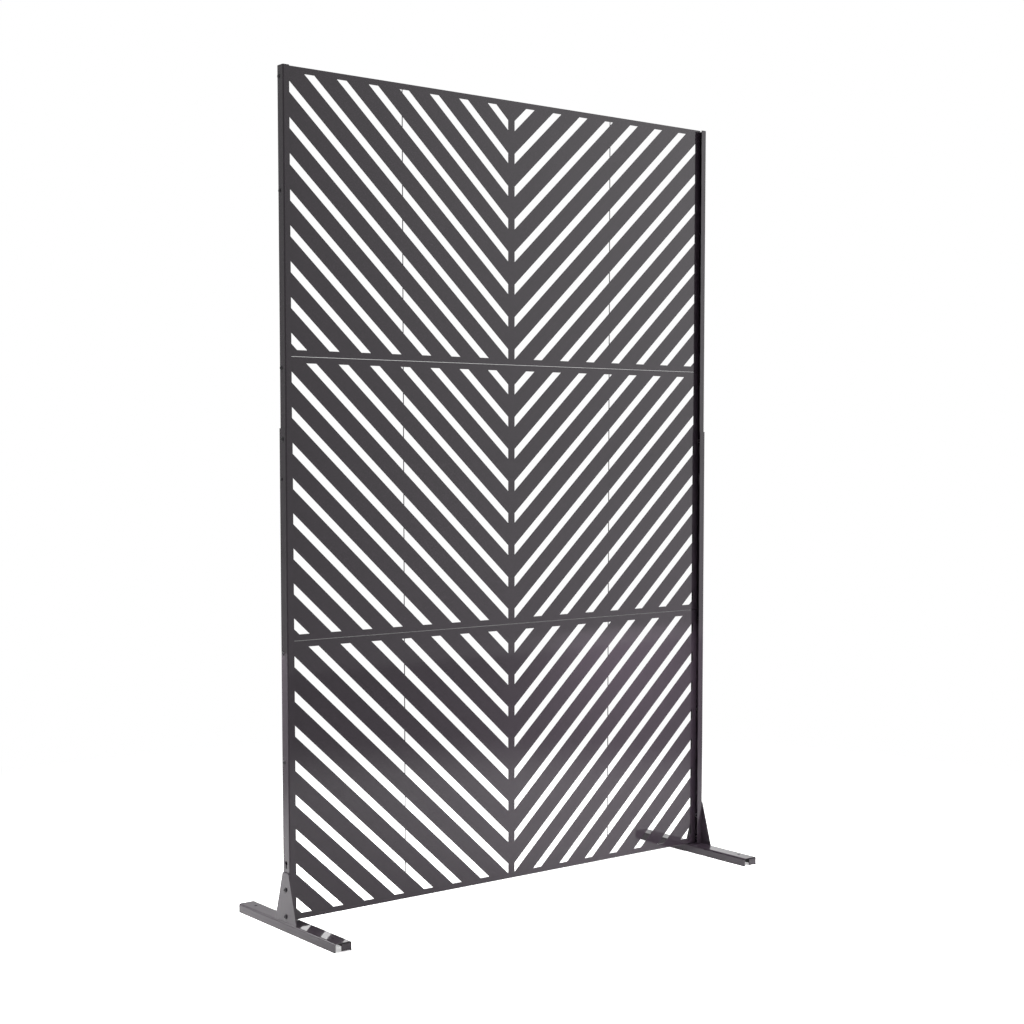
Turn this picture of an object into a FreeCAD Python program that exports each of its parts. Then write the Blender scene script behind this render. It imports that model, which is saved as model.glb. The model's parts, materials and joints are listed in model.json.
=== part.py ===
# Garden privacy screen: three slotted steel panels stacked between two channel
# posts, each post bolted to a gusset that is welded on a channel foot.
# Millimetres. The origin is on the ground, midway between the feet: X runs along
# the screen, Y from its front to its back, Z up. side is -1 on the left, +1 on the right.
import FreeCAD, Part
import os
import re
import Sketcher

LEFT, RIGHT = -1, 1
SIDES = {"left": LEFT, "right": RIGHT}

SIZES = {
    # Panels: sheets cut with chevron slots, every edge folded back
    "panel_width": 1200.0,
    "panel_height": 600.0,
    "panel_sheet": 1.2,
    "panel_bend": 1.0,         # outside radius of the folded edges
    "panel_relief": 3.0,       # gap between the folds at each corner
    "border_side": 14.0,
    "border_end": 13.2,
    "spine_width": 18.0,       # solid strip down the middle
    "slot_width": 17.2,        # across the slot
    "slot_angle": 42.8,        # degrees from level
    "slot_step": 74.3,         # from one slot to the next, straight down
    "slot_first": 53.0,        # tip of the first slot, below the panel's top edge
    "bottom_gap": 22.0,        # from the ground to the lowest panel
    "panel_seam": 1.0,
    # Stiffening wires welded across the slats, at the back
    "wire_size": 2.0,
    "wire_place": 301.0,       # from the middle of the panel
    # Posts: channels open towards the panels, the upper one nested in the lower
    "post_depth": 24.0,
    "post_flange": 15.0,
    "post_sheet": 1.5,
    "post_bend": 1.0,          # inside radius
    "post_gap": 6.5,           # between the panel's edge and the web
    "nest_gap": 0.2,
    "joint_height": 1073.0,    # top of the lower post
    "joint_overlap": 136.5,
    "post_drop": 1.4,          # top of the post below the top of the panel
    "keyhole_size": 9.0,       # round part, which lets a screw's head through
    "keyhole_slot": 5.0,       # width of the slot below it
    "keyhole_drop": 13.0,      # from the round part's centre to the slot's end
    "keyhole_height": 149.0,
    # Feet: channels open downwards
    "foot_length": 400.0,
    "foot_width": 40.0,
    "foot_height": 20.0,
    "foot_sheet": 1.5,
    "foot_bend": 2.5,          # inside radius
    "foot_ledge": 4.5,         # beyond the post's web
    "tab_width": 24.0,
    "tab_gap": 2.0,
    "anchor_hole": 7.0,
    "anchor_inset": 40.0,
    # Gussets: tapered plates outside the posts
    "gusset_sheet": 2.5,
    "gusset_height": 108.0,
    "gusset_base": 88.0,
    "gusset_tip": 24.0,
    "gusset_round": 5.0,
    # Bolts that hold the posts to the gussets, above the foot
    "bolt_low": 13.0,
    "bolt_high": 71.0,
    "bolt_size": 6.0,
    "bolt_hole": 6.6,
    "bolt_length": 10.0,
    "bolt_head": 10.5,
    "bolt_head_tall": 3.3,
    "bolt_nut": 10.0,
    "bolt_nut_tall": 5.0,
    # Screws that hold the panels and the joint, two at each end of a panel
    "screw_share": 0.57,       # height of the lower screw, as a share of the panel's
    "screw_inset": 24.0,       # upper screw, below the panel's top edge
    "screw_size": 5.0,
    "screw_hole": 5.5,
    "screw_length": 16.0,
    "screw_head": 9.5,
    "screw_head_tall": 1.6,
    "screw_nut": 8.0,
    "screw_nut_tall": 4.0,
    "screw_nut_gap": 0.1,      # between the nut and the panel's sheet
    "spacer_size": 8.0,
    "joint_screw_inset": 23.0,
    "joint_screw_length": 8.0,
    "thread_gap": 0.1,
}

# Places worked out from the sizes
PANEL_EDGE = "(panel_width / 2)"
RETURN_DEPTH = "(post_depth / 2 - post_sheet)"
SCREW_LINE = "(panel_sheet + screw_nut_gap + screw_nut / 2)"
UPPER_WEB_IN = "(panel_width / 2 + post_gap)"
UPPER_WEB_OUT = "(panel_width / 2 + post_gap + post_sheet)"
LOWER_WEB_OUT = "(panel_width / 2 + post_gap + 2 * post_sheet)"
LOWER_DEPTH = "(post_depth + 2 * post_sheet + 2 * nest_gap)"
JOINT_BOTTOM = "(joint_height - joint_overlap)"
JOINT_SCREW = "(joint_height - joint_screw_inset)"
PANEL_BOTTOMS = {
    "bottom": "(bottom_gap)",
    "middle": "(bottom_gap + panel_height + panel_seam)",
    "top": "(bottom_gap + 2 * (panel_height + panel_seam))",
}
POST_TOP = "(bottom_gap + 3 * panel_height + 2 * panel_seam - post_drop)"
SCREW_HEIGHTS = ("(screw_share * panel_height)", "(panel_height - screw_inset)")
PANEL_SCREWS = [f"({bottom} + {height})" for bottom in PANEL_BOTTOMS.values()
                for height in SCREW_HEIGHTS]
GUSSET_BOLTS = ["(foot_height + bolt_low)", "(foot_height + bolt_high)"]

doc = FreeCAD.newDocument("garden_privacy_screen")
sheet = doc.addObject("Spreadsheet::Sheet", "Sizes")
for row, (alias, size) in enumerate(SIZES.items(), start=1):
    sheet.set(f"A{row}", alias)
    sheet.set(f"B{row}", str(size))
    sheet.setAlias(f"B{row}", alias)
doc.recompute()
pieces = []


def formula(text):
    """Name the sheet in front of each size in a formula."""
    return re.sub(r"\b([a-z]+(?:_[a-z]+)+)\b", r"Sizes.\1", text)


def value(text):
    """Work a formula out from the sheet."""
    return float(sheet.evalExpression(formula(text)))


def bind(thing, **sizes):
    """Tie an object's sizes to formulas; a double underscore stands for a dot."""
    for name, text in sizes.items():
        thing.setExpression(name.replace("__", "."), formula(text))


def new_body(name, x="0", z="0"):
    """Start a body of its own name, placed along and above the ground."""
    body = doc.addObject("PartDesign::Body", name)
    body.Label = name
    bind(body, Placement__Base__x=x, Placement__Base__z=z)
    pieces.append(body)
    return body


def new_sketch(body, plane):
    """Lay a sketch on one of the body's own origin planes."""
    sketch = body.newObject("Sketcher::SketchObject", "Sketch")
    support = next(f for f in body.Origin.OriginFeatures if f.Role == plane)
    sketch.AttachmentSupport = [(support, "")]
    sketch.MapMode = "FlatFace"
    return sketch


def pin(sketch, curve, point, x, y):
    """Fix a point of a curve at formulas measured from the sketch's origin."""
    for kind, text in (("DistanceX", x), ("DistanceY", y)):
        rule = Sketcher.Constraint(kind, -1, 1, curve, point, value(text))
        index = sketch.addConstraint(rule)
        sketch.setExpression(f"Constraints[{index}]", formula(text))


def draw_outline(sketch, corners):
    """Draw a closed outline through corners given as pairs of formulas."""
    points = [FreeCAD.Vector(value(x), value(y), 0) for x, y in corners]
    first = sketch.GeometryCount
    count = len(points)
    for i in range(count):
        sketch.addGeometry(Part.LineSegment(points[i], points[(i + 1) % count]))
    for i in range(count):
        following = first + (i + 1) % count
        sketch.addConstraint(Sketcher.Constraint("Coincident", first + i, 2, following, 1))
        pin(sketch, first + i, 1, *corners[i])


def draw_rectangle(sketch, left, right, low, high):
    draw_outline(sketch, [(left, low), (right, low), (right, high), (left, high)])


def draw_circle(sketch, x, y, diameter):
    centre = FreeCAD.Vector(value(x), value(y), 0)
    circle = Part.Circle(centre, FreeCAD.Vector(0, 0, 1), value(diameter) / 2)
    index = sketch.addGeometry(circle)
    pin(sketch, index, 3, x, y)
    rule = sketch.addConstraint(Sketcher.Constraint("Diameter", index, value(diameter)))
    sketch.setExpression(f"Constraints[{rule}]", formula(diameter))


def pad(body, sketch, length, reverse=False, both_ways=False):
    """Raise a sketch into a solid."""
    feature = body.newObject("PartDesign::Pad", "Pad")
    feature.Profile = sketch
    feature.SideType = "Symmetric" if both_ways else "One side"
    feature.Reversed = reverse
    bind(feature, Length=length)
    doc.recompute()
    return feature


def cut_through(body, sketch):
    """Cut a sketch right through, both ways, and make sure that it took metal away."""
    before = body.Shape.Volume
    feature = body.newObject("PartDesign::Pocket", "Cut")
    feature.Profile = sketch
    feature.SideType = "Symmetric"
    feature.Type = "ThroughAll"
    doc.recompute()
    if not body.Shape.Volume < before:
        raise RuntimeError(f"{body.Label}: a cut took nothing away")
    return feature


def round_edges(body, radius, belongs):
    """Round the edges whose middle passes a test."""
    last = body.Tip
    names = [f"Edge{i}" for i, edge in enumerate(last.Shape.Edges, start=1)
             if belongs(edge.CenterOfMass)]
    feature = body.newObject("PartDesign::Fillet", "Bend")
    feature.Base = (last, names)
    bind(feature, Radius=radius)
    doc.recompute()
    return feature


def near(a, b):
    return abs(a - b) < 1e-4


def make_panel(place):
    """A sheet with chevron slots, clipped by its border and its middle strip."""
    body = new_body(f"{place}_panel", z=PANEL_BOTTOMS[place])
    half, top = PANEL_EDGE, "panel_height"

    blank = new_sketch(body, "XZ_Plane")
    draw_rectangle(blank, f"-{half}", half, "0", top)
    pad(body, blank, "panel_sheet", reverse=True)

    # The chevron's arms rise from its tip at the middle to beyond both sides
    rise = f"({half} * tan(slot_angle))"
    tip = "(panel_height - slot_first)"
    under = "(panel_height - slot_first - slot_width / cos(slot_angle))"
    chevron = new_sketch(body, "XZ_Plane")
    draw_outline(chevron, [("0", tip), (f"-{half}", f"{tip} + {rise}"),
                           (f"-{half}", f"{under} + {rise}"), ("0", under),
                           (half, f"{under} + {rise}"), (half, f"{tip} + {rise}")])
    first_slot = cut_through(body, chevron)
    slots = body.newObject("PartDesign::LinearPattern", "Slots")
    slots.Originals = [first_slot]
    slots.Direction = (chevron, ["V_Axis"])
    slots.Reversed = True
    slots.Mode = "Spacing"
    bind(slots, Offset="slot_step", Occurrences=f"floor(({tip} + {rise}) / slot_step) + 1")
    body.Tip = slots
    doc.recompute()

    frame = new_sketch(body, "XZ_Plane")
    draw_rectangle(frame, f"-{half}", half, "0", top)
    for side in SIDES.values():
        draw_rectangle(frame, f"{side} * spine_width / 2", f"{side} * ({half} - border_side)",
                       "border_end", f"{top} - border_end")
    pad(body, frame, "panel_sheet", reverse=True)

    folds = new_sketch(body, "XZ_Plane")
    inner = f"({half} - panel_relief - panel_sheet)"
    draw_rectangle(folds, f"-{inner}", inner, "0", "panel_sheet")
    draw_rectangle(folds, f"-{inner}", inner, f"{top} - panel_sheet", top)
    for side in SIDES.values():
        draw_rectangle(folds, f"{side} * ({half} - panel_sheet)", f"{side} * {half}",
                       "panel_sheet + panel_relief", f"{top} - panel_sheet - panel_relief")
    pad(body, folds, RETURN_DEPTH, reverse=True)

    holes = new_sketch(body, "YZ_Plane")
    for height in SCREW_HEIGHTS:
        draw_circle(holes, SCREW_LINE, height, "screw_hole")
    cut_through(body, holes)

    edge, height = value(half), value(top)
    round_edges(body, "panel_bend", lambda p: near(p.y, 0) and (
        near(abs(p.x), edge) or near(p.z, 0) or near(p.z, height)))


def make_wires(place):
    """Two wires from the lower fold to the upper one, against the back of the slats."""
    for name, side in SIDES.items():
        wire = doc.addObject("Part::Cylinder", f"{place}_panel_{name}_wire")
        wire.Label = wire.Name
        bind(wire, Radius="wire_size / 2", Height="panel_height - 2 * panel_sheet",
             Placement__Base__x=f"{side} * wire_place",
             Placement__Base__y="panel_sheet + wire_size / 2",
             Placement__Base__z=f"{PANEL_BOTTOMS[place]} + panel_sheet")
        pieces.append(wire)


def channel(body, side, depth, flange, length):
    """A bent channel whose web stands at the body's origin and opens inwards."""
    half = f"({depth} / 2)"
    lip, web = f"{-side} * {flange}", f"{-side} * post_sheet"
    profile = new_sketch(body, "XY_Plane")
    draw_outline(profile, [("0", f"-{half}"), (lip, f"-{half}"), (lip, f"post_sheet - {half}"),
                           (web, f"post_sheet - {half}"), (web, f"{half} - post_sheet"),
                           (lip, f"{half} - post_sheet"), (lip, half), ("0", half)])
    pad(body, profile, length)
    outside, inside = value(half), value(f"{half} - post_sheet")
    round_edges(body, "post_bend + post_sheet",
                lambda p: near(p.x, 0) and near(abs(p.y), outside))
    round_edges(body, "post_bend",
                lambda p: near(p.x, value(web)) and near(abs(p.y), inside))


def make_lower_post(name, side):
    body = new_body(f"{name}_lower_post", f"{side} * {LOWER_WEB_OUT}", "foot_height")
    channel(body, side, LOWER_DEPTH, "(post_flange + post_sheet)", "joint_height - foot_height")
    holes = new_sketch(body, "YZ_Plane")
    for height in GUSSET_BOLTS:
        draw_circle(holes, "0", f"{height} - foot_height", "bolt_hole")
    for height in PANEL_SCREWS:
        if value(height) < value("joint_height"):
            draw_circle(holes, SCREW_LINE, f"{height} - foot_height", "screw_hole")
    draw_circle(holes, "0", f"{JOINT_SCREW} - foot_height", "screw_hole")
    draw_circle(holes, "0", "keyhole_height - foot_height", "keyhole_size")
    cut_through(body, holes)
    slot = new_sketch(body, "YZ_Plane")
    draw_rectangle(slot, "-keyhole_slot / 2", "keyhole_slot / 2",
                   "keyhole_height - keyhole_drop - foot_height", "keyhole_height - foot_height")
    cut_through(body, slot)


def make_upper_post(name, side):
    body = new_body(f"{name}_upper_post", f"{side} * {UPPER_WEB_OUT}", JOINT_BOTTOM)
    channel(body, side, "post_depth", "post_flange", f"{POST_TOP} - {JOINT_BOTTOM}")
    holes = new_sketch(body, "YZ_Plane")
    for height in PANEL_SCREWS:
        if value(height) > value(JOINT_BOTTOM):
            draw_circle(holes, SCREW_LINE, f"{height} - {JOINT_BOTTOM}", "screw_hole")
    draw_circle(holes, "0", f"{JOINT_SCREW} - {JOINT_BOTTOM}", "screw_hole")
    cut_through(body, holes)


def make_foot(name, side):
    """A channel on its open side, with one end of each wall folded across."""
    body = new_body(f"{name}_foot", f"{side} * ({LOWER_WEB_OUT} + foot_ledge - foot_width / 2)")
    half, top = "(foot_width / 2)", "foot_height"
    wall, roof = "(foot_width / 2 - foot_sheet)", "(foot_height - foot_sheet)"
    profile = new_sketch(body, "XZ_Plane")
    draw_outline(profile, [(f"-{half}", "0"), (f"-{half}", top), (half, top), (half, "0"),
                           (wall, "0"), (wall, roof), (f"-{wall}", roof), (f"-{wall}", "0")])
    pad(body, profile, "foot_length", both_ways=True)
    round_edges(body, "foot_bend + foot_sheet",
                lambda p: near(abs(p.x), value(half)) and near(p.z, value(top)))
    round_edges(body, "foot_bend",
                lambda p: near(abs(p.x), value(wall)) and near(p.z, value(roof)))

    tab = new_sketch(body, "XZ_Plane")
    bind(tab, AttachmentOffset__Base__z="foot_length / 2")
    draw_rectangle(tab, f"{half} - tab_width", f"{half} - foot_sheet / 2",
                   "tab_gap", f"{roof} - tab_gap")
    first_tab = pad(body, tab, "foot_sheet", reverse=True)
    tabs = body.newObject("PartDesign::PolarPattern", "Tabs")
    tabs.Originals = [first_tab]
    tabs.Axis = (profile, ["V_Axis"])
    tabs.Angle = 360
    tabs.Occurrences = 2
    body.Tip = tabs
    doc.recompute()

    anchors = new_sketch(body, "XY_Plane")
    for end in (-1, 1):
        draw_circle(anchors, "0", f"{end} * (foot_length / 2 - anchor_inset)", "anchor_hole")
    cut_through(body, anchors)


def make_gusset(name, side):
    """A tapered plate standing on the foot, flat against the outside of the post."""
    body = new_body(f"{name}_gusset", f"{side} * {LOWER_WEB_OUT}", "foot_height")
    plate = new_sketch(body, "YZ_Plane")
    draw_outline(plate, [("-gusset_base / 2", "0"), ("gusset_base / 2", "0"),
                         ("gusset_tip / 2", "gusset_height"), ("-gusset_tip / 2", "gusset_height")])
    pad(body, plate, "gusset_sheet", reverse=side == LEFT)
    tip, corner = value("gusset_height"), value("gusset_tip / 2")
    round_edges(body, "gusset_round", lambda p: near(p.z, tip) and near(abs(p.y), corner))
    holes = new_sketch(body, "YZ_Plane")
    for height in ("bolt_low", "bolt_high"):
        draw_circle(holes, "0", height, "bolt_hole")
    cut_through(body, holes)


def solid(kind, side, x, y, z, **sizes):
    """A round or six-sided solid along X, growing outwards from x."""
    thing = doc.addObject(f"Part::{kind}", kind)
    thing.Placement.Rotation = FreeCAD.Rotation(FreeCAD.Vector(0, 1, 0), 90 * side)
    bind(thing, Placement__Base__x=f"{side} * ({x})", Placement__Base__y=y,
         Placement__Base__z=z, **sizes)
    return thing


def join(kind, base, tool):
    thing = doc.addObject(f"Part::{kind}", kind)
    thing.Base = base
    thing.Tool = tool
    return thing


def group(name, things):
    """Like fasteners share one name and stay separate solids."""
    compound = doc.addObject("Part::Compound", name)
    compound.Label = name
    compound.Links = things
    pieces.append(compound)


def screw(kind, side, seat, y, z, length):
    """A screw whose tapered head sits on the outside of its seat."""
    head = solid("Cone", side, seat, y, z, Radius1=f"{kind}_head / 2",
                 Radius2=f"{kind}_head / 3", Height=f"{kind}_head_tall")
    shank = solid("Cylinder", side, f"{seat} - {length}", y, z,
                  Radius=f"{kind}_size / 2", Height=length)
    return join("Fuse", head, shank)


def nut(kind, side, seat, y, z):
    """A hexagon nut drawn up against the inside of its seat."""
    block = solid("Prism", side, f"{seat} - {kind}_nut_tall", y, z,
                  Circumradius=f"{kind}_nut / 2 / cos(30)", Height=f"{kind}_nut_tall")
    bore = solid("Cylinder", side, f"{seat} - {kind}_nut_tall", y, z,
                 Radius=f"{kind}_size / 2 + thread_gap", Height=f"{kind}_nut_tall")
    return join("Cut", block, bore)


def spacer(side, z, length):
    """A sleeve that fills the gap between the panel's edge and the post's web."""
    sleeve = solid("Cylinder", side, PANEL_EDGE, SCREW_LINE, z,
                   Radius="spacer_size / 2", Height=length)
    bore = solid("Cylinder", side, PANEL_EDGE, SCREW_LINE, z,
                 Radius="screw_hole / 2", Height=length)
    return join("Cut", sleeve, bore)


def make_fasteners(name, side):
    screws, nuts, long_spacers, short_spacers = [], [], [], []
    for z in PANEL_SCREWS:
        in_lower = value(z) < value("joint_height")
        seat = LOWER_WEB_OUT if in_lower else UPPER_WEB_OUT
        screws.append(screw("screw", side, seat, SCREW_LINE, z, "screw_length"))
        nuts.append(nut("screw", side, f"({PANEL_EDGE} - panel_sheet)", SCREW_LINE, z))
        if value(z) < value(JOINT_BOTTOM):
            long_spacers.append(spacer(side, z, "post_gap + post_sheet"))
        else:
            short_spacers.append(spacer(side, z, "post_gap"))
    group(f"{name}_panel_screws", screws)
    group(f"{name}_panel_nuts", nuts)
    group(f"{name}_long_spacers", long_spacers)
    group(f"{name}_short_spacers", short_spacers)

    plate = f"({LOWER_WEB_OUT} + gusset_sheet)"
    group(f"{name}_gusset_bolts",
          [screw("bolt", side, plate, "0", z, "bolt_length") for z in GUSSET_BOLTS])
    group(f"{name}_gusset_nuts", [nut("bolt", side, UPPER_WEB_OUT, "0", z) for z in GUSSET_BOLTS])
    group(f"{name}_joint_screw",
          [screw("screw", side, LOWER_WEB_OUT, "0", JOINT_SCREW, "joint_screw_length")])
    group(f"{name}_joint_nut", [nut("screw", side, UPPER_WEB_IN, "0", JOINT_SCREW)])


def check_and_write():
    """Refuse any failed or broken object, then write each piece to its own file."""
    doc.recompute()
    for thing in doc.Objects:
        if {"Invalid", "Error"} & set(thing.State):
            raise RuntimeError(f"{thing.Label} could not be worked out")
    for piece in pieces:
        if piece.Shape.isNull() or not piece.Shape.isValid() or not piece.Shape.Solids:
            raise RuntimeError(f"{piece.Label} has a broken shape")
    os.makedirs("parts", exist_ok=True)
    for piece in pieces:
        piece.Shape.exportStep(f"parts/{piece.Label}.step")
        print(f"{piece.Label}: {len(piece.Shape.Solids)} solids, {piece.Shape.Volume:.0f} mm3")


for place in PANEL_BOTTOMS:
    make_panel(place)
    make_wires(place)
for name, side in SIDES.items():
    make_lower_post(name, side)
    make_upper_post(name, side)
    make_foot(name, side)
    make_gusset(name, side)
    make_fasteners(name, side)
check_and_write()
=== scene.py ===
import json
from math import cos, pi, radians, sin

import bmesh
import bpy
from bpy.props import FloatProperty, FloatVectorProperty, IntProperty, PointerProperty
from mathutils import Matrix, Vector

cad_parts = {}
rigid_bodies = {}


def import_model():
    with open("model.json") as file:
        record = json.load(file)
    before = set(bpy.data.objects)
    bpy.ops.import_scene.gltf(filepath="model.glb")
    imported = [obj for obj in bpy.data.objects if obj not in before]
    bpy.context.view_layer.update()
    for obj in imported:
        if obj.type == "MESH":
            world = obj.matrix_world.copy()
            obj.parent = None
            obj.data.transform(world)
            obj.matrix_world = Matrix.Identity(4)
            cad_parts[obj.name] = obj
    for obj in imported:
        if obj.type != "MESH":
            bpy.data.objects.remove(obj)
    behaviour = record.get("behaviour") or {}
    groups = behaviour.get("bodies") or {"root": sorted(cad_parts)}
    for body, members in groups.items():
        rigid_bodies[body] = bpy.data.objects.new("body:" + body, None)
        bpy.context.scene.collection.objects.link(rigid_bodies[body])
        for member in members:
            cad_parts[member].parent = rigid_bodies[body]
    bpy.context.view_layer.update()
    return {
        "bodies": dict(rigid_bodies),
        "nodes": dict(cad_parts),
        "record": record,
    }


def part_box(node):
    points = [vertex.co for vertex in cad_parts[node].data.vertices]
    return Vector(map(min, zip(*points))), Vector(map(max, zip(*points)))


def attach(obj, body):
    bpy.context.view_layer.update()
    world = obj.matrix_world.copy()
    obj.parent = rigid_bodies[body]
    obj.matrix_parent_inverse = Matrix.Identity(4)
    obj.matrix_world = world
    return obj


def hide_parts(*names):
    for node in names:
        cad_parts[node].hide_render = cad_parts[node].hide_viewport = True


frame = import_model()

bl_info = {
    "name": "Garden privacy screen",
    "version": (1, 0, 0),
    "blender": (4, 5, 0),
    "location": "View3D > Sidebar > Screen",
    "description": "Coats a slotted steel garden screen and adds its screws, welds and studio",
    "category": "Object",
}

NODES = frame["nodes"]
ROOT = next(iter(frame["bodies"]))
SIDES = {"left": -1, "right": 1}


def extent(node):
    """Lowest and highest corner of a CAD node, in metres."""
    low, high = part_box(node)
    return Vector(low), Vector(high)


# Places read from the frame, in metres
PANELS = [name for name in NODES if name.endswith("_panel")]
PANEL_LOW = {name: extent(name)[0].z for name in PANELS}
WIRE_LOW, WIRE_HIGH = extent("top_panel_right_wire")
WIRE_X = abs(WIRE_LOW.x + WIRE_HIGH.x) / 2
SHEET_BACK = extent("top_panel_left_wire")[0].y
FOOT_TOP = extent("left_foot")[1].z
POST_BACK = extent("right_lower_post")[1].y

# Button-head screws: shares of the sizes that a user may change
CHAMFER = 0.1          # of the shank's diameter
FLAT = 0.72            # radius of the flat round the key socket, of the key's width
RIM = 0.16             # upright rim of the head, of its height
KEY_DEPTH = 0.62       # of the head's height
DOME_STEPS = 8
TURNED_SIDES = 32
SAME_POINT = 1e-6      # points closer than this, in metres, are merged

# Weld beads and tacks
RIPPLE_RINGS = 6       # rings of the bead in one ripple
BEAD_SIDES = 10
BEAD_WAIST = 0.78      # narrow end of a ripple, as a share of the bead's width
TACK_STRETCH = (1.3, 0.7, 1.6)
TACK_ROUNDS = 2        # subdivisions of the ball that a tack is made from

# Studio floor, in metres
FLOOR_RADIUS = 14.0
FLOOR_SIDES = 96
PAPER = "#F7F7F7"
PAPER_LIFT = 0.5       # glow that brings the paper near the screen up to white
WHITE_FROM = 1.0       # distance from the middle where the paper starts to turn plain white
WHITE_AT = 2.2         # and where it is plain white
WHITE = (1, 1, 1, 1)

# Softboxes: place, the point that each one faces, then width and height, in metres
SOFTBOX_FRONT = ((2.95, -3.3, 1.75), (2.95, 0.0, 1.75), (3.4, 3.4))
SOFTBOX_OVERHEAD = ((-0.6, -0.6, 4.6), (0, 0, 0.6), (3.4, 3.4))
SOFTBOX_BEHIND = ((1.335, 1.5, 0.56), (1.335, 0.0, 0.56), (2.23, 0.28))

# How two of them fade: along X or Y, where it is dark and where it is full, on a scale that
# runs from 0 at one edge to 1 at the other
FRONT_FADES = [("X", -0.6, 1.0), ("Y", -1.0, 1.0)]
BEHIND_FADES = [("X", -0.35, 0.7), ("X", 1.0, 0.95), ("Y", 0.0, 0.3), ("Y", 1.0, 0.7)]

# Lights that face down on the floor, so that the coat mirrors a bright floor low on the screen:
# middle in X and Y, height above the floor, width and watts
FLOOR_LIGHTS = {
    "left_foot": ((-0.85, 0.25), 0.6, 0.5, 9.0),
    "left_back": ((-1.35, 1.1), 0.8, 0.9, 26.0),
    "right_foot": ((0.35, -0.25), 0.6, 0.4, 6.0),
    "right_front": ((1.2, -1.5), 1.0, 1.8, 64.0),
}

# Camera: place in metres, angles in degrees, and the lens shift as a share of the sensor
CAMERA_PLACE = (-2.4427, -3.1274, 1.0266)
CAMERA_DIP = 3.797
CAMERA_TURN = -38.0065
CAMERA_SHIFT = 0.0506
SENSOR_WIDTH = 36      # millimetres
FARTHEST_SEEN = 100    # metres


def millimetres(name, size, description):
    """A length that a user may change, given in millimetres."""
    return FloatProperty(name=name, default=size / 1000, min=0, unit="LENGTH", precision=4,
                         description=description)


def linear(hex_colour):
    """An sRGB colour such as #808080 as the linear red, green, blue and alpha that shaders take."""
    parts = [int(hex_colour[i:i + 2], 16) / 255 for i in (1, 3, 5)]
    return [c / 12.92 if c <= 0.04045 else ((c + 0.055) / 1.055) ** 2.4 for c in parts] + [1.0]


def colour(name, hex_colour, description):
    """A colour that a user may change, given as sRGB hex."""
    return FloatVectorProperty(name=name, default=linear(hex_colour), size=4, subtype="COLOR",
                               min=0, max=1, description=description)


class ScreenFinish(bpy.types.PropertyGroup):
    """Colours of the coat and of the fasteners"""
    coat: colour("Powder coat", "#231D23", "Near-black gloss polyester powder coat")
    black: colour("Black zinc", "#323133", "Screws plated with zinc and passivated black")
    zinc: colour("Zinc", "#B4B7BA", "Bright zinc-plated nuts")
    nylon: colour("Nylon", "#141414", "Black moulded nylon sleeves")


class ScreenScrews(bpy.types.PropertyGroup):
    """Sizes of the button-head screws"""
    head: millimetres("Head", 9.5, "Diameter of a panel screw's head")
    head_tall: millimetres("Head height", 1.6, "Height of a panel screw's head")
    key: millimetres("Key", 3.0, "Width across the flats of the key socket")
    shank: millimetres("Shank", 5.0, "Diameter of a panel screw's shank")
    length: millimetres("Length", 16.0, "Length of a panel screw under its head")
    bolt_head: millimetres("Bolt head", 10.5, "Diameter of a gusset bolt's head")
    bolt_head_tall: millimetres("Bolt head height", 3.3, "Height of a gusset bolt's head")
    bolt_key: millimetres("Bolt key", 4.0, "Width across the flats of a bolt's key socket")
    bolt_shank: millimetres("Bolt shank", 6.0, "Diameter of a gusset bolt's shank")
    bolt_length: millimetres("Bolt length", 10.0, "Length of a gusset bolt under its head")


class ScreenWelds(bpy.types.PropertyGroup):
    """Sizes of the weld beads and tacks"""
    bead: millimetres("Bead", 2.6, "Width of the bead that joins a gusset to its foot")
    ripple: millimetres("Ripple", 2.0, "Step from one ripple of the bead to the next")
    tack: millimetres("Tack", 2.4, "Diameter of the tack that holds a wire on a slat")
    slat_step: millimetres("Slat step", 74.3, "Height from one slat to the next")
    slat_first: millimetres("First slat", 33.8, "Height of the lowest slat at the wire, in a panel")
    slats: IntProperty(name="Slats", default=8, min=1, description="Slats that a wire crosses")


class ScreenStudio(bpy.types.PropertyGroup):
    """Lens of the camera and power of the lights"""
    lens: FloatProperty(name="Lens", default=60.09, min=1, description="Focal length in millimetres")
    sky: FloatProperty(name="Sky", default=0.62, min=0, description="Strength of the soft white sky")
    softbox: FloatProperty(name="Softbox", default=125.0, min=0, unit="POWER",
                           description="Power of the softbox in front, on the right")
    overhead: FloatProperty(name="Overhead", default=26.0, min=0, unit="POWER",
                            description="Power of the overhead softbox")
    backlight: FloatProperty(name="Backlight", default=8.0, min=0, unit="POWER",
                             description="Power of the low strip behind, which glints on the feet")
    floor_light: FloatProperty(name="Floor light", default=1.0, min=0,
                               description="Brightness of the lights that wash the floor")


def add(tree, kind, inputs=(), **settings):
    """Add a node with its inputs and settings.

    An input is (its name or number, the socket or the plain value that it takes). A setting
    with a capital is an input as well, its underscores standing for spaces, and any other is
    an option of the node.
    """
    node = tree.nodes.new(kind)
    for key, value in settings.items():
        if key[0].isupper():
            node.inputs[key.replace("_", " ")].default_value = value
        else:
            setattr(node, key, value)
    for target, source in inputs:
        if isinstance(source, bpy.types.NodeSocket):
            tree.links.new(source, node.inputs[target])
        else:
            node.inputs[target].default_value = source
    return node


def new_material(name):
    """An empty material and its node tree."""
    material = bpy.data.materials.new(name)
    material.use_nodes = True
    material.node_tree.nodes.clear()
    return material, material.node_tree


def finish_material(material, tree, shader):
    """Lead a material's last shader to its surface."""
    add(tree, "ShaderNodeOutputMaterial", [("Surface", shader.outputs[0])])
    return material


def noise_scale(size):
    """Scale of a noise whose features are this many millimetres across."""
    return 1000 / size


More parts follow.
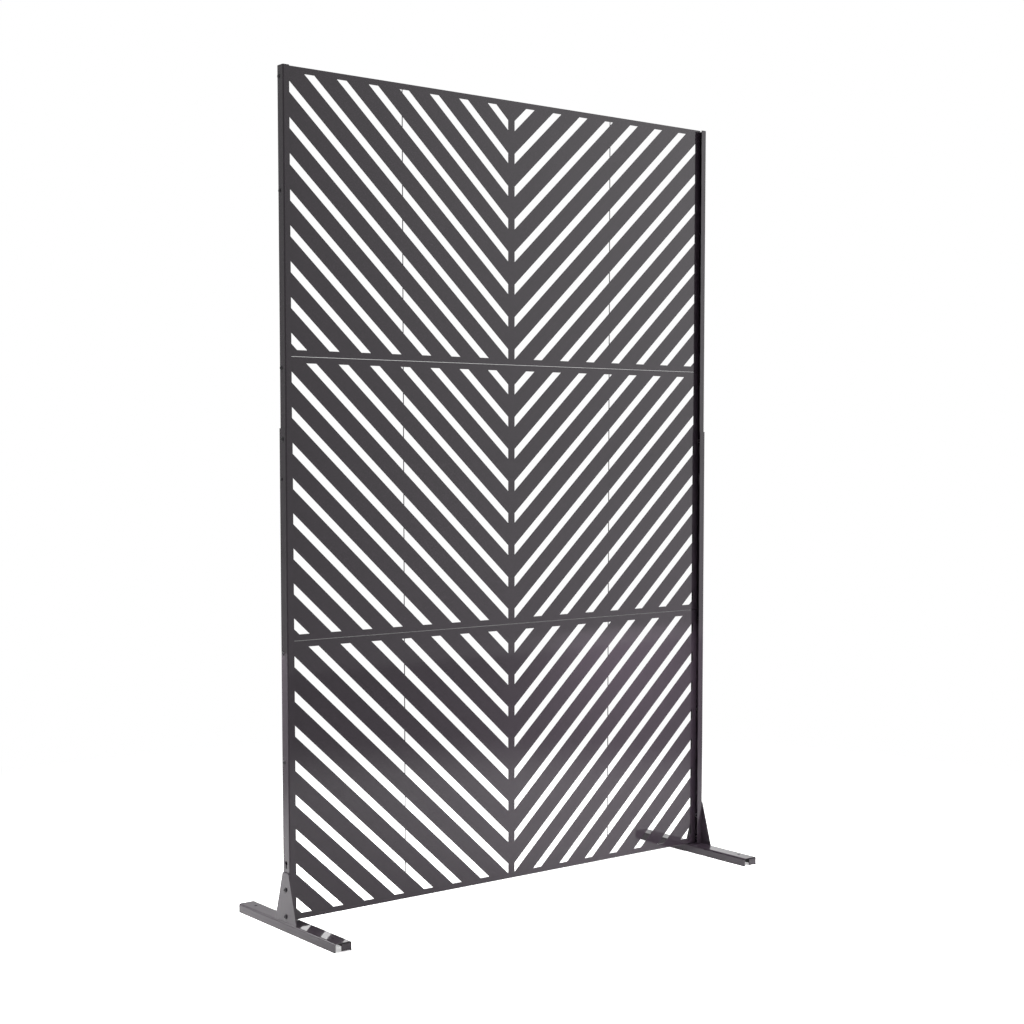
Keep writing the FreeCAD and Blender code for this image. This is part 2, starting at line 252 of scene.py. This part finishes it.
def powder_coat(shade):
    """Powder-coated sheet steel: sprayed dry and baked, so it flows out to an even gloss.

    The eye sees a near-black film that mirrors the pale studio more strongly at a slant,
    with a faint orange peel and a slightly uneven sheen.
    """
    material, tree = new_material("powder_coated_steel")
    place = add(tree, "ShaderNodeTexCoord").outputs["Object"]
    # Orange peel: soft swellings about 4 mm across and a few microns high
    peel = add(tree, "ShaderNodeTexNoise", [("Vector", place)], Scale=noise_scale(4), Detail=1.0)
    relief = add(tree, "ShaderNodeBump", [("Height", peel.outputs["Fac"])],
                 Strength=0.12, Distance=0.00004)
    # The film's thickness drifts over about 150 mm and dulls the gloss a little
    drift = add(tree, "ShaderNodeTexNoise", [("Vector", place)],
                Scale=noise_scale(150), Detail=2.0)
    gloss = add(tree, "ShaderNodeMapRange", [("Value", drift.outputs["Fac"])],
                To_Min=0.36, To_Max=0.46)
    # The clear binder on top does the mirroring, and the dull pigment under it hardly any
    shader = add(tree, "ShaderNodeBsdfPrincipled",
                 [("Normal", relief.outputs[0]), ("Roughness", gloss.outputs[0]),
                  ("Coat Normal", relief.outputs[0])],
                 Base_Color=shade, IOR=1.5, Specular_IOR_Level=0.05,
                 Coat_Weight=0.42, Coat_Roughness=0.05)
    return finish_material(material, tree, shader)


def black_zinc(shade):
    """Black-passivated zinc on turned screws: a dark metal, satin, with fine turning marks."""
    material, tree = new_material("black_zinc_plated_steel")
    place = add(tree, "ShaderNodeTexCoord").outputs["Object"]
    # Turning marks 0.4 mm apart, coarser than the real feed so that they show
    grain = add(tree, "ShaderNodeTexNoise", [("Vector", place)],
                Scale=noise_scale(0.4), Detail=0.0)
    rough = add(tree, "ShaderNodeMapRange", [("Value", grain.outputs["Fac"])],
                To_Min=0.32, To_Max=0.48)
    shader = add(tree, "ShaderNodeBsdfPrincipled", [("Roughness", rough.outputs[0])],
                 Base_Color=shade, Metallic=1.0)
    return finish_material(material, tree, shader)


def zinc_plate(shade):
    """Bright zinc plate on a pressed nut: a pale metal with a cloudy, slightly milky sheen."""
    material, tree = new_material("zinc_plated_steel")
    place = add(tree, "ShaderNodeTexCoord").outputs["Object"]
    # Clouds of passivation about 1.5 mm across
    cloud = add(tree, "ShaderNodeTexNoise", [("Vector", place)],
                Scale=noise_scale(1.5), Detail=2.0)
    rough = add(tree, "ShaderNodeMapRange", [("Value", cloud.outputs["Fac"])],
                To_Min=0.28, To_Max=0.42)
    shader = add(tree, "ShaderNodeBsdfPrincipled", [("Roughness", rough.outputs[0])],
                 Base_Color=shade, Metallic=1.0)
    return finish_material(material, tree, shader)


def moulded_nylon(shade):
    """Moulded nylon: a matt black plastic with a fine spark-eroded grain."""
    material, tree = new_material("moulded_nylon")
    place = add(tree, "ShaderNodeTexCoord").outputs["Object"]
    # Mould grain 0.3 mm across
    grain = add(tree, "ShaderNodeTexNoise", [("Vector", place)],
                Scale=noise_scale(0.3), Detail=1.0)
    relief = add(tree, "ShaderNodeBump", [("Height", grain.outputs["Fac"])],
                 Strength=0.2, Distance=0.00003)
    shader = add(tree, "ShaderNodeBsdfPrincipled", [("Normal", relief.outputs[0])],
                 Base_Color=shade, Roughness=0.55, IOR=1.53)
    return finish_material(material, tree, shader)


def new_object(name, data):
    """An object in the scene that shows this mesh, light or camera."""
    thing = bpy.data.objects.new(name, data)
    bpy.context.scene.collection.objects.link(thing)
    return thing


def points_mesh(name, places, edges=()):
    """A mesh of bare points, with edges where pairs of them are given."""
    mesh = bpy.data.meshes.new(name)
    mesh.from_pydata([tuple(p) for p in places], edges, [])
    return mesh


def plain_mesh(name, built):
    """A mesh from one that was built by hand, which is then freed."""
    mesh = bpy.data.meshes.new(name)
    built.to_mesh(mesh)
    built.free()
    return mesh


def bake(thing, helpers=()):
    """Turn an object's modifiers into plain mesh and clear away what it was made from."""
    graph = bpy.context.evaluated_depsgraph_get()
    mesh = bpy.data.meshes.new_from_object(thing.evaluated_get(graph))
    thing.modifiers.clear()
    thing.data = mesh
    for helper in helpers:
        bpy.data.objects.remove(helper)
    return thing


def button_screw(name, head, tall, key, shank, length):
    """One button-head screw along Z with its seat at zero, turned from its half profile."""
    rim = head / 2
    chamfer = shank * CHAMFER
    flat = key * FLAT
    profile = [(0, -length), (shank / 2 - chamfer, -length), (shank / 2, chamfer - length),
               (shank / 2, 0), (rim, 0), (rim, tall * RIM)]
    # The dome is an arc from the head's rim to the flat round the key socket
    for i in range(1, DOME_STEPS + 1):
        turn = pi / 2 * i / DOME_STEPS
        profile.append((flat + (rim - flat) * cos(turn), tall * (RIM + (1 - RIM) * sin(turn))))
    profile.append((0, tall))
    turned = bmesh.new()
    verts = [turned.verts.new((r, 0, z)) for r, z in profile]
    edges = [turned.edges.new(pair) for pair in zip(verts, verts[1:])]
    bmesh.ops.spin(turned, geom=verts + edges, axis=(0, 0, 1), cent=(0, 0, 0),
                   angle=2 * pi, steps=TURNED_SIDES)
    bmesh.ops.remove_doubles(turned, verts=turned.verts, dist=SAME_POINT)
    bmesh.ops.recalc_face_normals(turned, faces=turned.faces)
    body = new_object(name, plain_mesh(name, turned))

    socket = bmesh.new()
    corner = key / 2 / cos(pi / 6)
    bmesh.ops.create_cone(socket, cap_ends=True, segments=6, radius1=corner, radius2=corner,
                          depth=tall * KEY_DEPTH * 2, matrix=Matrix.Translation((0, 0, tall)))
    cutter = new_object(name + "_socket", plain_mesh(name + "_socket", socket))
    cut = body.modifiers.new("Key socket", "BOOLEAN")
    cut.operation = "DIFFERENCE"
    cut.object = cutter
    cut.solver = "EXACT"
    return bake(body, [cutter])


def seats_of(node, side, tall):
    """Where each screw of a CAD group meets its seat: the head's face less its height."""
    mesh = bmesh.new()
    mesh.from_mesh(node.data)
    bmesh.ops.remove_doubles(mesh, verts=mesh.verts, dist=SAME_POINT)
    seen = set()
    seats = []
    for first in mesh.verts:
        if first in seen:
            continue
        # Gather the points that hang together with this one: they are one screw
        seen.add(first)
        island = []
        queue = [first]
        while queue:
            vert = queue.pop()
            island.append(vert.co.copy())
            for edge in vert.link_edges:
                other = edge.other_vert(vert)
                if other not in seen:
                    seen.add(other)
                    queue.append(other)
        face = max(co.x * side for co in island)
        middle = [(min(co[i] for co in island) + max(co[i] for co in island)) / 2 for i in (1, 2)]
        seats.append(((face - tall) * side, *middle))
    mesh.free()
    return seats


def new_tree(name, sizes):
    """A geometry tree with a named input for each size, and the sockets that give them."""
    tree = bpy.data.node_groups.new(name, "GeometryNodeTree")
    tree.interface.new_socket("Geometry", in_out="INPUT", socket_type="NodeSocketGeometry")
    for size, kind in sizes.items():
        tree.interface.new_socket(size, in_out="INPUT", socket_type=f"NodeSocket{kind}")
    tree.interface.new_socket("Geometry", in_out="OUTPUT", socket_type="NodeSocketGeometry")
    return tree, add(tree, "NodeGroupInput").outputs


def end_tree(tree, geometry, material):
    """Realize what the tree repeats, give it its material and lead it out."""
    real = add(tree, "GeometryNodeRealizeInstances", [("Geometry", geometry)])
    coated = add(tree, "GeometryNodeSetMaterial", [("Geometry", real.outputs[0]),
                                                   ("Material", material)])
    add(tree, "NodeGroupOutput", [(0, coated.outputs[0])])


def apply_tree(thing, tree, values):
    """Run a geometry tree on an object with these named inputs, and keep the plain mesh."""
    modifier = thing.modifiers.new(tree.name, "NODES")
    modifier.node_group = tree
    sockets = {s.name: s.identifier for s in tree.interface.items_tree
               if s.in_out == "INPUT"}
    for name, value in values.items():
        modifier[sockets[name]] = value
    return bake(thing)


def screw_tree():
    """A copy of a screw on every point, turned to face outwards."""
    tree, given = new_tree("Screws on seats", {"Screw": "Object", "Turn": "Vector",
                                               "Material": "Material"})
    pattern = add(tree, "GeometryNodeObjectInfo", [("Object", given["Screw"])],
                  transform_space="ORIGINAL")
    spots = add(tree, "GeometryNodeMeshToPoints", [("Mesh", given["Geometry"])])
    turn = add(tree, "FunctionNodeEulerToRotation", [("Euler", given["Turn"])])
    copies = add(tree, "GeometryNodeInstanceOnPoints",
                 [("Points", spots.outputs[0]), ("Instance", pattern.outputs["Geometry"]),
                  ("Rotation", turn.outputs[0])])
    end_tree(tree, copies.outputs[0], given["Material"])
    return tree


def place_screws(tree, name, seats, side, screw, material, nodes):
    """Set a copy of a screw on every seat of one side, in place of the plain CAD nodes."""
    thing = new_object(name, points_mesh(name, seats))
    apply_tree(thing, tree, {"Screw": screw, "Turn": (0, side * pi / 2, 0),
                             "Material": material})
    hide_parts(*nodes)
    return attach(thing, ROOT)


def weld_tree():
    """A bead along an edge: a round strip that swells at every ripple."""
    tree, given = new_tree("Weld bead", {"Width": "Float", "Ripple": "Float",
                                         "Material": "Material"})
    path = add(tree, "GeometryNodeMeshToCurve", [("Mesh", given["Geometry"])])
    step = add(tree, "ShaderNodeMath", [(0, given["Ripple"]), (1, RIPPLE_RINGS)],
               operation="DIVIDE")
    steps = add(tree, "GeometryNodeResampleCurve",
                [("Curve", path.outputs[0]), ("Length", step.outputs[0])], mode="LENGTH")
    along = add(tree, "GeometryNodeSplineParameter")
    phase = add(tree, "ShaderNodeMath",
                [(0, along.outputs["Length"]), (1, given["Ripple"])], operation="DIVIDE")
    saw = add(tree, "ShaderNodeMath", [(0, phase.outputs[0])], operation="FRACT")
    swell = add(tree, "ShaderNodeMapRange", [("Value", saw.outputs[0])],
                To_Min=BEAD_WAIST, To_Max=1.0)
    half = add(tree, "ShaderNodeMath", [(0, given["Width"]), (1, 0.5)], operation="MULTIPLY")
    size = add(tree, "ShaderNodeMath", [(0, swell.outputs[0]), (1, half.outputs[0])],
               operation="MULTIPLY")
    ring = add(tree, "GeometryNodeCurvePrimitiveCircle", Resolution=BEAD_SIDES, Radius=1.0)
    bead = add(tree, "GeometryNodeCurveToMesh",
               [("Curve", steps.outputs[0]), ("Profile Curve", ring.outputs[0]),
                ("Scale", size.outputs[0])], Fill_Caps=True)
    smooth = add(tree, "GeometryNodeSetShadeSmooth", [("Geometry", bead.outputs[0])])
    end_tree(tree, smooth.outputs[0], given["Material"])
    return tree


def tack_tree():
    """A flat drop of weld on each slat that a wire crosses."""
    tree, given = new_tree("Weld tacks", {"Tack": "Float", "Step": "Float", "Slats": "Int",
                                          "Material": "Material"})
    rise = add(tree, "ShaderNodeCombineXYZ", [("Z", given["Step"])])
    row = add(tree, "GeometryNodeMeshLine", [("Count", given["Slats"]),
                                             ("Offset", rise.outputs[0])])
    starts = add(tree, "GeometryNodeMeshToPoints", [("Mesh", given["Geometry"])])
    rows = add(tree, "GeometryNodeInstanceOnPoints", [("Points", starts.outputs[0]),
                                                      ("Instance", row.outputs[0])])
    spots = add(tree, "GeometryNodeRealizeInstances", [("Geometry", rows.outputs[0])])
    size = add(tree, "ShaderNodeMath", [(0, given["Tack"]), (1, 0.5)], operation="MULTIPLY")
    drop = add(tree, "GeometryNodeMeshIcoSphere", [("Radius", size.outputs[0])],
               Subdivisions=TACK_ROUNDS)
    drops = add(tree, "GeometryNodeInstanceOnPoints",
                [("Points", spots.outputs[0]), ("Instance", drop.outputs[0])],
                Scale=TACK_STRETCH)
    end_tree(tree, drops.outputs[0], given["Material"])
    return tree


def disc_mesh(name, radius, sides):
    """A flat disc round the origin."""
    disc = bmesh.new()
    bmesh.ops.create_circle(disc, cap_ends=True, segments=sides, radius=radius)
    return plain_mesh(name, disc)


def camera_like_rays(tree):
    """1 for rays of the camera, of a mirror and through glass, 0 for light on the object."""
    path = add(tree, "ShaderNodeLightPath").outputs
    total = path["Is Camera Ray"]
    for name in ("Is Glossy Ray", "Is Transmission Ray"):
        total = add(tree, "ShaderNodeMath", [(0, total), (1, path[name])],
                    operation="MAXIMUM").outputs[0]
    return total


def studio_floor():
    """Seamless white paper: dead matt, and it runs out into the white sky."""
    material, tree = new_material("white_seamless_paper")
    paper = add(tree, "ShaderNodeBsdfDiffuse", Color=linear(PAPER))
    glow = add(tree, "ShaderNodeEmission", Color=WHITE, Strength=1.0)
    place = add(tree, "ShaderNodeTexCoord").outputs["Object"]
    away = add(tree, "ShaderNodeVectorMath", [(0, place)], operation="LENGTH")
    fade = add(tree, "ShaderNodeMapRange", [("Value", away.outputs["Value"])],
               interpolation_type="SMOOTHSTEP", From_Min=WHITE_FROM, From_Max=WHITE_AT)
    seen = camera_like_rays(tree)
    white = add(tree, "ShaderNodeMath", [(0, fade.outputs[0]), (1, seen)], operation="MULTIPLY")
    # Near the screen the paper is lifted towards white and keeps a soft shadow
    lift = add(tree, "ShaderNodeMath", [(0, seen), (1, PAPER_LIFT)], operation="MULTIPLY")
    lifted = add(tree, "ShaderNodeEmission", [("Strength", lift.outputs[0])], Color=WHITE)
    near = add(tree, "ShaderNodeAddShader", [(0, paper.outputs[0]), (1, lifted.outputs[0])])
    mixed = add(tree, "ShaderNodeMixShader", [(0, white.outputs[0]), (1, near.outputs[0]),
                                              (2, glow.outputs[0])])
    return finish_material(material, tree, mixed)


def white_sky(strength):
    """An even white sky that lights softly and shows as plain white."""
    world = bpy.data.worlds.new("white_sky")
    world.use_nodes = True
    tree = world.node_tree
    tree.nodes.clear()
    level = add(tree, "ShaderNodeMapRange", [("Value", camera_like_rays(tree))],
                To_Min=strength, To_Max=1.0)
    sky = add(tree, "ShaderNodeBackground", [("Strength", level.outputs[0])], Color=WHITE)
    add(tree, "ShaderNodeOutputWorld", [("Surface", sky.outputs[0])])
    return world


def soft_light(name, place, target, size, power):
    """A flat light that stands at a place and faces a point."""
    data = bpy.data.lights.new(name, "AREA")
    data.shape = "RECTANGLE"
    data.size, data.size_y = size
    data.energy = power
    light = new_object(name, data)
    light.location = place
    light.rotation_euler = (Vector(target) - Vector(place)).to_track_quat("-Z", "Y").to_euler()
    return light


def fade_light(light, fades):
    """Let a softbox fade: each fade is (along X or Y, where it is dark, where it is full)."""
    light.data.use_nodes = True
    tree = light.data.node_tree
    tree.nodes.clear()
    across = add(tree, "ShaderNodeNewGeometry").outputs["Parametric"]
    part = add(tree, "ShaderNodeSeparateXYZ", [(0, across)]).outputs
    strength = 1.0
    for axis, dark, full in fades:
        ramp = add(tree, "ShaderNodeMapRange", [("Value", part[axis])],
                   interpolation_type="SMOOTHSTEP", From_Min=dark, From_Max=full)
        strength = add(tree, "ShaderNodeMath", [(0, strength), (1, ramp.outputs[0])],
                       operation="MULTIPLY").outputs[0]
    glow = add(tree, "ShaderNodeEmission", [("Strength", strength)])
    add(tree, "ShaderNodeOutputLight", [("Surface", glow.outputs[0])])


class SCREEN_OT_finishes(bpy.types.Operator):
    """Coat every CAD piece with the finish of its real material"""
    bl_idname = "screen.finishes"
    bl_label = "Finishes"

    def execute(self, context):
        look = context.scene.screen_finish
        slots = {"powder_coat": powder_coat(look.coat), "black_steel": black_zinc(look.black),
                 "zinc_steel": zinc_plate(look.zinc), "black_plastic": moulded_nylon(look.nylon)}
        for part in frame["record"]["subparts"]:
            mesh = NODES[part["node"]].data
            mesh.materials.clear()
            mesh.materials.append(slots[part["material_slot"]])
        return {"FINISHED"}


class SCREEN_OT_screws(bpy.types.Operator):
    """Turn the button-head screws and bolts and set them in their holes"""
    bl_idname = "screen.screws"
    bl_label = "Screws and bolts"

    def execute(self, context):
        size = context.scene.screen_screws
        black = bpy.data.materials["black_zinc_plated_steel"]
        screw = button_screw("panel_screw", size.head, size.head_tall, size.key, size.shank,
                             size.length)
        short = button_screw("joint_screw", size.head, size.head_tall, size.key, size.shank,
                             size.length / 2)
        bolt = button_screw("gusset_bolt", size.bolt_head, size.bolt_head_tall, size.bolt_key,
                            size.bolt_shank, size.bolt_length)
        tree = screw_tree()
        for name, side in SIDES.items():
            for kind, pattern, tall in (("panel_screws", screw, size.head_tall),
                                        ("joint_screw", short, size.head_tall),
                                        ("gusset_bolts", bolt, size.bolt_head_tall)):
                node = f"{name}_{kind}"
                seats = seats_of(NODES[node], side, tall)
                place_screws(tree, f"{node}_turned", seats, side, pattern, black, [node])
        for pattern in (screw, short, bolt):
            bpy.data.objects.remove(pattern)
        return {"FINISHED"}


class SCREEN_OT_welds(bpy.types.Operator):
    """Lay the beads at the gussets and the tacks on the wires"""
    bl_idname = "screen.welds"
    bl_label = "Welds"

    def execute(self, context):
        size = context.scene.screen_welds
        coat = bpy.data.materials["powder_coated_steel"]
        bead, tack = weld_tree(), tack_tree()
        for name, side in SIDES.items():
            low, high = extent(f"{name}_gusset")
            outer = max(abs(low.x), abs(high.x)) * side
            inner = min(abs(low.x), abs(high.x)) * side
            # One bead along the foot of the gusset's outer face, and one on each side of the
            # post along its inner face, all ending a bead's width short of the gusset's ends
            post = POST_BACK + size.bead / 2
            runs = [((outer, low.y + size.bead, FOOT_TOP), (outer, high.y - size.bead, FOOT_TOP))]
            for end in (-1, 1):
                runs.append(((inner, end * post, FOOT_TOP),
                             (inner, end * (high.y - size.bead), FOOT_TOP)))
            path = points_mesh(f"{name}_gusset_welds", [p for run in runs for p in run],
                               [(2 * i, 2 * i + 1) for i in range(len(runs))])
            welds = new_object(f"{name}_gusset_welds", path)
            apply_tree(welds, bead, {"Width": size.bead, "Ripple": size.ripple, "Material": coat})
            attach(welds, ROOT)
        for panel in PANELS:
            starts = [(side * WIRE_X, SHEET_BACK, PANEL_LOW[panel] + size.slat_first)
                      for side in SIDES.values()]
            tacks = new_object(f"{panel}_tacks", points_mesh(f"{panel}_tacks", starts))
            apply_tree(tacks, tack, {"Tack": size.tack, "Step": size.slat_step,
                                     "Slats": size.slats, "Material": coat})
            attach(tacks, ROOT)
        return {"FINISHED"}


class SCREEN_OT_studio(bpy.types.Operator):
    """Set out the white floor, the soft light and the camera"""
    bl_idname = "screen.studio"
    bl_label = "Studio"

    def execute(self, context):
        studio = context.scene.screen_studio
        floor = new_object("studio_floor", disc_mesh("studio_floor", FLOOR_RADIUS, FLOOR_SIDES))
        floor.data.materials.append(studio_floor())
        front = soft_light("softbox_front", *SOFTBOX_FRONT, studio.softbox)
        fade_light(front, FRONT_FADES)
        above = soft_light("softbox_overhead", *SOFTBOX_OVERHEAD, studio.overhead)
        behind = soft_light("softbox_behind", *SOFTBOX_BEHIND, studio.backlight)
        fade_light(behind, BEHIND_FADES)
        for name, ((x, y), height, width, watts) in FLOOR_LIGHTS.items():
            wash = soft_light(f"floor_light_{name}", (x, y, height), (x, y, 0.0), (width, width),
                              watts * studio.floor_light)
        context.scene.world = white_sky(studio.sky)
        camera_data = bpy.data.cameras.new("studio_camera")
        camera_data.sensor_width = SENSOR_WIDTH
        camera_data.lens = studio.lens
        camera_data.shift_y = CAMERA_SHIFT
        camera_data.clip_end = FARTHEST_SEEN
        camera = new_object("studio_camera", camera_data)
        camera.location = CAMERA_PLACE
        camera.rotation_euler = (radians(90 - CAMERA_DIP), 0, radians(CAMERA_TURN))
        context.scene.camera = camera
        context.scene.view_settings.view_transform = "Standard"
        return {"FINISHED"}


class SCREEN_PT_panel(bpy.types.Panel):
    """Lists the screen's steps and the sizes and colours that they use"""
    bl_label = "Garden privacy screen"
    bl_idname = "SCREEN_PT_panel"
    bl_space_type = "VIEW_3D"
    bl_region_type = "UI"
    bl_category = "Screen"

    def draw(self, context):
        for group in GROUPS:
            values = getattr(context.scene, group)
            box = self.layout.box()
            for name in values.bl_rna.properties.keys():
                if name not in ("rna_type", "name"):
                    box.prop(values, name)
        for step in STEPS:
            self.layout.operator(step.bl_idname)


GROUPS = {"screen_finish": ScreenFinish, "screen_screws": ScreenScrews,
          "screen_welds": ScreenWelds, "screen_studio": ScreenStudio}
STEPS = (SCREEN_OT_finishes, SCREEN_OT_screws, SCREEN_OT_welds, SCREEN_OT_studio)


def register():
    """Register every class and hang the sizes and colours on the scene."""
    for kind in (*GROUPS.values(), *STEPS, SCREEN_PT_panel):
        bpy.utils.register_class(kind)
    for name, kind in GROUPS.items():
        setattr(bpy.types.Scene, name, PointerProperty(type=kind))


def unregister():
    """Undo register, in the other order."""
    for name in GROUPS:
        delattr(bpy.types.Scene, name)
    for kind in (SCREEN_PT_panel, *reversed(STEPS), *reversed(list(GROUPS.values()))):
        bpy.utils.unregister_class(kind)


def main():
    """Dress the screen step by step."""
    register()
    bpy.ops.screen.finishes()
    bpy.ops.screen.screws()
    bpy.ops.screen.welds()
    bpy.ops.screen.studio()


if __name__ == "__main__":
    main()
